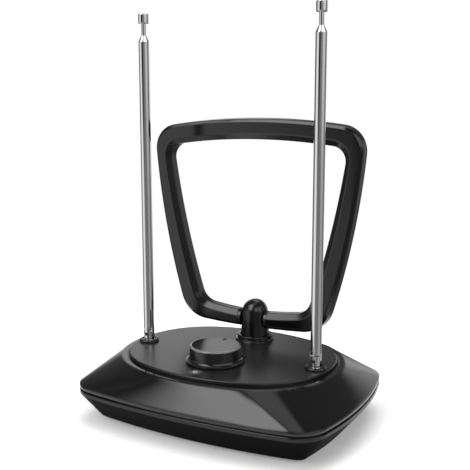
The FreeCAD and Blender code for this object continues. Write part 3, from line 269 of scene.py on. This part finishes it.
finishes = {name: makePlastic(name, p, wear) for name, p in plastics.items()}
finishes.update({name: makeMetal(name, p, drawing) for name, p in metals.items()})
finishes["board"] = makeBoard("board", boardFinish)
finishes["lamp_green"] = makeLamp("lamp_green", lampFinish)
for part in frame["record"]["subparts"]:
    piece = nodes[part["node"]]
    piece.data.materials.clear()
    piece.data.materials.append(finishes[part["material_slot"]])
print("finishes given to the nodes")


# quads between neighbouring rows and columns of a grid of points, either way round closed or open
def gridFaces(rows, columns, closeRows=False, closeColumns=False):
    i = np.arange(rows if closeRows else rows - 1)[:, None]
    j = np.arange(columns if closeColumns else columns - 1)[None, :]
    nextI = (i + 1) % rows
    nextJ = (j + 1) % columns
    corners = [i * columns + j, nextI * columns + j, nextI * columns + nextJ, i * columns + nextJ]
    return np.stack(np.broadcast_arrays(*corners), axis=-1).reshape(-1, 4)


# six times the volume that the faces enclose, from triangles fanned out of each face's first corner
def enclosed(points, faces):
    total = 0.0
    for size in {len(face) for face in faces}:
        index = np.array([face for face in faces if len(face) == size])
        for k in range(1, size - 1):
            a, b, c = points[index[:, 0]], points[index[:, k]], points[index[:, k + 1]]
            total += np.einsum("ij,ij->", a, np.cross(b, c))
    return total


def addPiece(name, points, faces, body, slot, sharp=40.0):
    points = np.asarray(points, dtype=float) * mm
    faces = [list(map(int, face)) for face in faces]
    if enclosed(points, faces) < 0.0:                        # faces look outwards
        faces = [face[::-1] for face in faces]
    mesh = bpy.data.meshes.new(name)
    mesh.from_pydata(points, [], faces)
    mesh.polygons.foreach_set("use_smooth", np.ones(len(faces), dtype=bool))
    mesh.set_sharp_from_angle(angle=math.radians(sharp))
    mesh.materials.append(finishes[slot])
    piece = bpy.data.objects.new(name, mesh)
    scene.collection.objects.link(piece)
    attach(piece, body)
    return piece


# the loop as one moulding with soft edges and the parting line of its two halves
loop = dict(
    outer=dict(foot=52.3, footBow=540.0, head=199.7, headBow=480.0, side=81.6, sideAt=224.0, sideBow=531.0,
               footCorner=23.0, headCorner=17.5),
    inner=dict(foot=64.1, footBow=230.0, head=185.0, headBow=466.0, side=73.9, sideAt=266.0, sideBow=617.0,
               footCorner=12.5, headCorner=10.0),
    end=11.5, front=28.9, back=41.2, frontOuter=(2.1, 1.25), frontInner=(4.2, 2.4), backOuter=(5.4, 5.0),
    backInner=(3.4, 3.4), draft=0.8, soften=0.55, softenSteps=6, softenLead=1.35, seam=35.05, seamHalf=0.22,
    seamDeep=0.25, steps=(14, 18, 44, 18, 22))


# centre of the circle of radius r that touches two larger circles from inside: where circles about the
# two centres, smaller by r, cross; of the two crossings the one nearer to the wanted point
def cornerCentre(c1, r1, c2, r2, r, wanted):
    c1, c2 = np.array(c1), np.array(c2)
    a, b = r1 - r, r2 - r
    gap = c2 - c1
    d = np.hypot(*gap)
    along = (a * a - b * b + d * d) / (2.0 * d)
    across = math.sqrt(a * a - along * along)
    unit = gap / d
    sideways = np.array([-unit[1], unit[0]])
    both = [c1 + unit * along + sideways * across, c1 + unit * along - sideways * across]
    return min(both, key=lambda c: np.hypot(*(c - wanted)))


# right half of a rounded outline, foot to head: five arcs in turn, each centre + radius (cos t, sin t),
# with t running on from one arc to the next, so that the arcs stay tangent
def halfOutline(o, end, steps):
    footMid = (0.0, o["foot"] + o["footBow"])
    sideMid = (o["side"] - o["sideBow"], o["sideAt"])
    headMid = (0.0, o["head"] - o["headBow"])
    low = cornerCentre(footMid, o["footBow"], sideMid, o["sideBow"], o["footCorner"], (o["side"], o["foot"]))
    high = cornerCentre(headMid, o["headBow"], sideMid, o["sideBow"], o["headCorner"], (o["side"], o["head"]))
    turn = [-math.acos(end / o["footBow"])]
    for corner, mid in ((low, footMid), (low, sideMid), (high, sideMid), (high, headMid)):
        turn.append(math.atan2(corner[1] - mid[1], corner[0] - mid[0]))
    turn.append(math.pi / 2)
    middles = (footMid, low, sideMid, high, headMid)
    radii = (o["footBow"], o["footCorner"], o["sideBow"], o["headCorner"], o["headBow"])
    runs = []
    for k, count in enumerate(steps):
        t = np.linspace(turn[k], turn[k + 1], count, endpoint=(k == len(steps) - 1))
        runs.append(np.array(middles[k]) + radii[k] * np.stack([np.cos(t), np.sin(t)], axis=1))
    return np.concatenate(runs)


# the half outline and its mirror image as one open path, right foot end to left foot end
def wholeOutline(o, end, steps):
    right = halfOutline(o, end, steps)
    left = right[-2::-1] * np.array([-1.0, 1.0])
    return np.concatenate([right, left])


# a corner V between unit directions e1 and e2 softened over a length t: V - e1 t (1-s)^2 + e2 t s^2, with
# one more point on each straight side that keeps the flats flat
def soften(before, corner, after, p):
    t = p["soften"]
    lead = t * p["softenLead"]
    e1 = (corner - before) / np.hypot(*(corner - before))
    e2 = (after - corner) / np.hypot(*(after - corner))
    s = np.linspace(0.0, 1.0, p["softenSteps"])[:, None]
    curve = corner - e1 * t * (1.0 - s) ** 2 + e2 * t * s ** 2
    return np.concatenate([[corner - e1 * lead], curve, [corner + e2 * lead]])


# section of the bar: pairs of (distance in from the outer edge, depth); a row flagged 1 is measured back
# from the inner edge instead, so that one section serves every width of the bar
def barSection(p):
    f, b = p["front"], p["back"]
    width = 40.0                                             # any width gives the same corner directions
    (fo, fod), (fi, fid) = p["frontOuter"], p["frontInner"]  # each bevel as (across, deep)
    (bo, bod), (bi, bid) = p["backOuter"], p["backInner"]
    draft = p["draft"]                                       # the outer side leans in towards the front
    corners = np.array([[draft, f + fod], [draft + fo, f], [width - fi, f], [width, f + fid],
                        [width, b - bid], [width - bi, b], [bo, b], [0, b - bod]])
    groove = np.array([[0.0, -p["seamHalf"]], [p["seamDeep"], 0.0], [0.0, p["seamHalf"]]])
    rows = []
    for k in range(len(corners)):
        rows.append(soften(corners[k - 1], corners[k], corners[(k + 1) % len(corners)], p))
        if k == 3:                                           # parting line on the inside
            rows.append(np.array([width, p["seam"]]) + groove * np.array([-1.0, 1.0]))
        if k == 7:                                           # and on the outside
            lean = draft * (b - bod - p["seam"]) / (b - bod - f - fod)
            rows.append((np.array([lean, p["seam"]]) + groove)[::-1])
    section = np.concatenate(rows)
    flag = (section[:, 0] > width / 2).astype(float)
    return section[:, 0] - flag * width, flag, section[:, 1]


# the skin: outer point + (inner point - outer point) / width * (inset + flag * width), at the section's depth
def makeLoop(p):
    outer = wholeOutline(p["outer"], p["end"], p["steps"])
    inner = wholeOutline(p["inner"], p["end"], p["steps"])
    across = inner - outer
    width = np.hypot(across[:, 0], across[:, 1])[:, None]
    inset, flag, depth = barSection(p)
    reach = (inset[None, :] + flag[None, :] * width) / width
    x = outer[:, 0:1] + across[:, 0:1] * reach
    z = outer[:, 1:2] + across[:, 1:2] * reach
    y = np.broadcast_to(depth[None, :], x.shape)
    points = np.stack([x, y, z], axis=-1).reshape(-1, 3)
    rows, columns = x.shape
    faces = gridFaces(rows, columns, closeColumns=True).tolist()
    faces.append(list(range(columns))[::-1])                 # the two ends by the post
    faces.append(list(range((rows - 1) * columns, rows * columns)))
    skin = addPiece("loop_moulding", points, faces, "loop", "loop_black")
    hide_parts("loop_front_shell", "loop_rear_shell")
    print("loop moulding:", len(points), "points")


makeLoop(loop)


upright = (0.0, 0.0, 1.0)                                    # axis of most turned pieces
sides = (("left", -1.0), ("right", 1.0))                     # name, and which way x goes


# a profile of (radius, height) turned round an axis: point = centre + radius (cos t u + sin t v) + height w;
# the first and last radius of 0 are poles, closed by triangles, and a closed profile makes a ring
def turned(profile, centre, axis, count, closed=False):
    w = np.array(axis, dtype=float)
    u = np.array([1.0, 0.0, 0.0]) if abs(w[0]) < 0.5 else np.array([0.0, 1.0, 0.0])
    v = np.cross(w, u)
    profile = np.array(profile, dtype=float)
    ring = profile if closed else profile[1:-1]
    t = np.linspace(0.0, 2.0 * np.pi, count, endpoint=False)
    spoke = np.cos(t)[:, None] * u + np.sin(t)[:, None] * v
    body = ring[:, 0, None, None] * spoke[None] + ring[:, 1, None, None] * w
    faces = gridFaces(len(ring), count, closeRows=closed, closeColumns=True).tolist()
    if closed:
        return body.reshape(-1, 3) + np.array(centre), faces
    poles = [profile[0, 1] * w, profile[-1, 1] * w]
    points = np.concatenate([body.reshape(-1, 3), poles]) + np.array(centre)
    k = np.arange(count)
    first, last = len(points) - 2, len(points) - 1
    top = (len(ring) - 1) * count
    faces += np.stack([np.full(count, first), k, (k + 1) % count], axis=1).tolist()
    faces += np.stack([np.full(count, last), top + (k + 1) % count, top + k], axis=1).tolist()
    return points, faces


# gain knob: rounded rim, slightly tapered side, hollow flare to a thin skirt, a pointer slot in its top, and
# a mask for the highlight painted round its rim
knob = dict(x=0.0, y=-22.2, foot=43.9, head=54.5, top=16.5, rim=1.35, waist=17.0, flare=47.3, skirt=19.1,
            edge=44.9, skirtEdge=((0.08, -0.04), (0.10, -0.12)),
            skirtFoot=((0.10, 0.15), (0.05, 0.05), (-0.10, 0.0)), footRing=8.0, topRings=(2.0, 4.0, 6.0, 8.0),
            fineFrom=9.5, fineStep=0.25, fineGap=0.1, slot=(11.0, 13.9), slotHalf=0.8, slotFlat=0.55,
            slotDeep=0.55, rubDeep=0.9, rubFade=0.4, steps=11, count=360)


# profile (radius, height) turned round: flat top, rim r = top - rim + rim sin s, z = head - rim + rim cos s,
# flare r = waist + (skirt - waist)(1 - cos s); the slot sinks by a smooth step of the distance to its line
def makeKnob(p):
    s = np.linspace(0.0, np.pi / 2, p["steps"])
    fine = np.arange(p["fineFrom"], p["top"] - p["rim"] - p["fineGap"], p["fineStep"])
    flat = np.concatenate([p["topRings"], fine])
    rim = np.stack([p["top"] - p["rim"] + p["rim"] * np.sin(s),
                    p["head"] - p["rim"] + p["rim"] * np.cos(s)], axis=1)
    flare = np.stack([p["waist"] + (p["skirt"] - p["waist"]) * (1.0 - np.cos(s)),
                      p["flare"] - (p["flare"] - p["edge"]) * np.sin(s)], axis=1)
    edge = [(p["skirt"] + r, p["edge"] + z) for r, z in p["skirtEdge"]]
    edge += [(p["skirt"] + r, p["foot"] + z) for r, z in p["skirtFoot"]]
    edge.append((p["footRing"], p["foot"]))
    profile = np.concatenate([[(0.0, p["head"])], np.stack([flat, np.full(len(flat), p["head"])], axis=1),
                              rim, flare, edge, [(0.0, p["foot"])]])
    points, faces = turned(profile, (p["x"], p["y"], 0.0), upright, p["count"])
    x, y, z = points[:, 0] - p["x"], points[:, 1] - p["y"], points[:, 2]
    away = np.hypot(x, y - np.clip(y, *p["slot"]))
    t = np.clip((away / p["slotHalf"] - p["slotFlat"]) / (1.0 - p["slotFlat"]), 0.0, 1.0)
    onTop = z > p["head"] - 0.01                             # the flat top, give or take a hair
    points[:, 2] -= onTop * p["slotDeep"] * (1.0 - t * t * (3.0 - 2.0 * t))
    skin = addPiece("gain_knob_skin", points, faces, "knob", "knob_black")
    # the rim attribute marks where the painted highlight runs: the rounded top edge, fading in from its inner
    # side
    onRim = np.clip((np.hypot(x, y) - p["top"] + p["rim"]) / p["rubFade"], 0.0, 1.0)
    rimHighlight = (z > p["head"] - p["rim"] * p["rubDeep"]) * onRim
    skin.data.attributes.new("rim", "FLOAT", "POINT").data.foreach_set("value", rimHighlight)
    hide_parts("gain_knob")
    print("knob:", len(points), "points")


makeKnob(knob)


# collar round each rod's swivel: a stem through the plate with a rounded bead on it
collar = dict(x=63.3, y=-5.7, foot=38.3, plate=43.5, bore=4.1, stem=5.2, bead=6.9, crest=1.85, fullness=2.6,
              steps=25, count=96)


# ring profile (radius, height): the stem, then a bead r = middle + half cos^m s, z = plate + crest sin^m s
# with m = 2 / fullness, from its outer foot over the crest into the bore
def makeCollars(p):
    s = np.linspace(0.0, np.pi, p["steps"])
    m = 2.0 / p["fullness"]
    middle, half = (p["bead"] + p["bore"]) / 2, (p["bead"] - p["bore"]) / 2
    bead = np.stack([middle + half * np.sign(np.cos(s)) * np.abs(np.cos(s)) ** m,
                     p["plate"] + p["crest"] * np.abs(np.sin(s)) ** m], axis=1)
    stem = [(p["bore"], p["foot"]), (p["stem"], p["foot"]), (p["stem"], p["plate"])]
    profile = np.concatenate([stem, bead])
    for side, sign in sides:
        points, faces = turned(profile, (sign * p["x"], p["y"], 0.0), upright, p["count"], closed=True)
        skin = addPiece("rod_collar_bead_" + side, points, faces, "base", "collar_black")
        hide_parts("rod_collar_" + side)
    print("rod collars set")


makeCollars(collar)


# flange round the post: a rounded lip on the plate, then an upright wall with a rounded top edge
flange = dict(y=35.05, plate=43.5, bore=10.5, lip=14.1, lipHigh=1.15, wall=12.5, top=47.3, edge=0.6, steps=10,
              count=180)


# ring profile (radius, height): lip r = wall + (lip - wall) cos s, z = plate + lipHigh sin s, then the wall
# and its edge r = wall - edge + edge cos s, z = top - edge + edge sin s
def makeFlange(p):
    s = np.linspace(0.0, np.pi / 2, p["steps"])
    lip = np.stack([p["wall"] + (p["lip"] - p["wall"]) * np.cos(s),
                    p["plate"] + p["lipHigh"] * np.sin(s)], axis=1)
    edge = np.stack([p["wall"] - p["edge"] + p["edge"] * np.cos(s),
                     p["top"] - p["edge"] + p["edge"] * np.sin(s)], axis=1)
    profile = np.concatenate([[(p["bore"], p["plate"])], lip, edge, [(p["bore"], p["top"])]])
    points, faces = turned(profile, (0.0, p["y"], 0.0), upright, p["count"], closed=True)
    skin = addPiece("post_flange", points, faces, "base", "post_black")
    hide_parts("post_ring")
    print("post flange set")


makeFlange(flange)


# domed heads on both ends of each hinge rivet, with the dimple that the press leaves
rivet = dict(x=63.3, z=49.1, front=-9.3, back=-2.1, radius=1.2, proud=0.32, sunk=0.55, dimple=0.4,
             dimpleFloor=0.24, dimpleDeep=0.16, steps=9, count=40)


# profile (radius, height) from the sunk foot: dome r = radius cos s, z = proud sin s, then the dimple
def makeRivets(p):
    r = p["radius"]
    s = np.linspace(0.0, np.pi / 2, p["steps"])
    dome = np.stack([r * np.cos(s), p["proud"] * np.sin(s)], axis=1)[:-1]
    dome = dome[dome[:, 0] > p["dimple"]]
    floor = p["proud"] - p["dimpleDeep"]
    profile = [(0.0, -p["sunk"]), (r, -p["sunk"]), *dome, (p["dimple"], p["proud"]),
               (p["dimpleFloor"], floor), (0.0, floor)]
    for side, sign in sides:
        for end, y, way in (("front", p["front"], -1.0), ("back", p["back"], 1.0)):
            points, faces = turned(profile, (sign * p["x"], y, p["z"]), (0.0, way, 0.0), p["count"])
            addPiece("rivet_head_" + end + "_" + side, points, faces, side + "_swivel", "pin_dark")
    print("rivet heads set")


makeRivets(rivet)


# domed lens over the lamp, on a short neck through the plate
lens = dict(x=0.0, y=-47.4, seat=43.3, neck=43.62, radius=1.74, rise=0.62, steps=14, count=48)


# profile (radius, height) above the seat: the neck, then a dome r = radius cos s that climbs by rise sin s
def makeLens(p):
    s = np.linspace(0.0, np.pi / 2, p["steps"])
    dome = np.stack([p["radius"] * np.cos(s), p["neck"] - p["seat"] + p["rise"] * np.sin(s)], axis=1)
    profile = [(0.0, 0.0), (p["radius"], 0.0), *dome[:-1], (0.0, dome[-1, 1])]
    points, faces = turned(profile, (p["x"], p["y"], p["seat"]), upright, p["count"])
    addPiece("lamp_lens", points, faces, "base", "lamp_green")
    print("lamp lens set")


makeLens(lens)


# camera where the photograph was taken from
view = dict(place=(0.23401, -0.43062, 0.20107), turn=28.2567, down=9.0302, focal=752.19, frame=470.0,
            sensor=36.0, near=0.01)


def makeCamera(v):
    data = bpy.data.cameras.new("camera")
    data.sensor_fit = "HORIZONTAL"
    data.sensor_width = v["sensor"]
    data.lens = v["sensor"] * v["focal"] / v["frame"]        # focal is in pixels of the frame
    data.clip_start = v["near"]
    camera = bpy.data.objects.new("camera", data)
    camera.location = v["place"]
    camera.rotation_euler = (math.radians(90.0 - v["down"]), 0.0, math.radians(v["turn"]))
    scene.collection.objects.link(camera)
    scene.camera = camera


# round table top of white paper: it shows white, keeps the shadow and fades out towards its rim, into white
# for the camera and into the room's softboxes and backdrops for mirrors; from below it is clear
paper = dict(radius=0.40, fade=(0.20, 0.30), mirrored=(0.12, 0.20), under=0.0001, colour=0.80, lift=0.18,
             count=96)


def makeFloor(p):
    t = np.linspace(0.0, 2.0 * np.pi, p["count"], endpoint=False)
    level = np.full_like(t, -p["under"])
    edge = np.stack([p["radius"] * np.cos(t), p["radius"] * np.sin(t), level], axis=1)
    mesh = bpy.data.meshes.new("floor")
    mesh.from_pydata(edge, [], [list(range(len(t)))])
    floor = bpy.data.objects.new("floor", mesh)
    scene.collection.objects.link(floor)
    material, graph = newMaterial("floor_paper")
    toCamera, glossy, through = graph.node(
        "ShaderNodeLightPath", out=("Is Camera Ray", "Is Glossy Ray", "Is Transmission Ray"))
    x, y, z = graph.split(graph.place())
    away = x.math("SQRT", x * x + y * y)
    rim = toCamera * away.step(*p["fade"]) + (1.0 - toCamera) * away.step(*p["mirrored"])
    sheet = graph.node("ShaderNodeBsdfDiffuse", {}, {"Color": grey(p["colour"], 1.0)})
    white = graph.node("ShaderNodeEmission", {}, {
        "Color": grey(1.0, 1.0), "Strength": (toCamera + glossy + through) * p["lift"]})
    lit = graph.node("ShaderNodeAddShader", {}, {0: sheet, 1: white})
    plain = graph.node("ShaderNodeEmission", {}, {"Color": grey(1.0, 1.0), "Strength": 1.0})
    clear = graph.node("ShaderNodeBsdfTransparent")
    beyond = graph.node("ShaderNodeMixShader", {}, {0: toCamera, 1: clear, 2: plain})
    above = graph.node("ShaderNodeMixShader", {}, {0: rim, 1: lit, 2: beyond})
    below = graph.node("ShaderNodeNewGeometry", out="Backfacing")
    graph.close(graph.node("ShaderNodeMixShader", {}, {0: below, 1: above, 2: clear}))
    mesh.materials.append(material)


# broad soft lamp for the floor and its shadow; the gloss comes from the softboxes of the room below
lamps = {
    "fillAbove": dict(place=(0.10, 0.05, 1.30), aim=(0.0, 0.0, 0.0), size=(1.2, 1.2), power=13.6),
}


def makeLamps(rows):
    for name, p in rows.items():
        data = bpy.data.lights.new(name, "AREA")
        data.shape = "RECTANGLE"
        data.size, data.size_y = p["size"]
        data.energy = p["power"]
        lamp = bpy.data.objects.new(name, data)
        lamp.location = p["place"]
        lamp.rotation_euler = (Vector(p["aim"]) - Vector(p["place"])).to_track_quat("-Z", "Y").to_euler()
        lamp.visible_glossy = False
        scene.collection.objects.link(lamp)


# the room: a dim studio with softboxes, white backdrops and a black flag that draws a dark line on the
# chrome, each a patch of the sky given in degrees as (starts to rise, full, starts to fall, gone) round the
# compass and up from the horizon
room = dict(dim=0.17, softboxes={
    "frontLeft": dict(round=(-150, -112, -101, -95), up=(14, 26, 65, 76), light=4.5),
    "frontLeftHigh": dict(round=(-162, -147, -130, -119), up=(34, 43, 60, 70), light=2.4),
    "frontRight": dict(round=(-78, -58, 10, 30), up=(6, 18, 40, 50), light=1.6),
    "frontLow": dict(round=(-172, -150, -121, -95), up=(-60, -40, 4, 18), light=0.92),
    "front": dict(round=(-110, -95, -45, -35), up=(-60, -40, 4, 18), light=0.06),
    "overhead": dict(round=(-400, -390, 390, 400), up=(74, 80, 400, 410), light=0.90),
    "back": dict(round=(70, 85, 118, 135), up=(38, 48, 66, 76), light=1.6),
    "backLeft": dict(round=(112, 119, 132, 146), up=(-30, -20, 20, 30), light=0.88),
    "backRight": dict(round=(48, 64, 92, 108), up=(-30, 4, 8, 23), light=0.80),
    "right": dict(round=(-40, -24, 16, 36), up=(-40, -20, 4, 16), light=0.28),
    "rightHigh": dict(round=(-52, -30, 0, 20), up=(-8, 6, 12, 20), light=0.32),
}, flags={
    "black": dict(round=(-121, -107, -91, -71), up=(-8, 4, 9, 15), cut=0.98),
})


# 1 inside a patch of the sky and 0 outside it: four smooth steps multiplied
def skyPatch(compass, height, box):
    a, b, c, d = box["round"]
    e, f, g, h = box["up"]
    return compass.step(a, b) * compass.step(d, c) * height.step(e, f) * height.step(h, g)


def makeRoom(p):
    world = bpy.data.worlds.new("studio")
    scene.world = world
    world.use_nodes = True
    graph = Graph(world.node_tree)
    toCamera = graph.node("ShaderNodeLightPath", out="Is Camera Ray")
    x, y, z = graph.split(graph.node("ShaderNodeTexCoord", out="Generated"))
    compass = z.math("ARCTAN2", y, x) * math.degrees(1.0)
    height = z.math("ARCSINE", z) * math.degrees(1.0)
    glow = p["dim"]
    for box in p["softboxes"].values():
        glow = glow + skyPatch(compass, height, box) * box["light"]
    for flag in p["flags"].values():
        glow = glow * (1.0 - skyPatch(compass, height, flag) * flag["cut"])
    strength = toCamera + (1.0 - toCamera) * glow            # the camera sees plain white
    light = graph.node("ShaderNodeBackground", {}, {"Color": grey(1.0, 1.0), "Strength": strength})
    graph.node("ShaderNodeOutputWorld", {}, {"Surface": light})


makeCamera(view)
makeFloor(paper)
makeLamps(lamps)
makeRoom(room)
scene.view_settings.view_transform = "Standard"
print("camera, floor and light set")
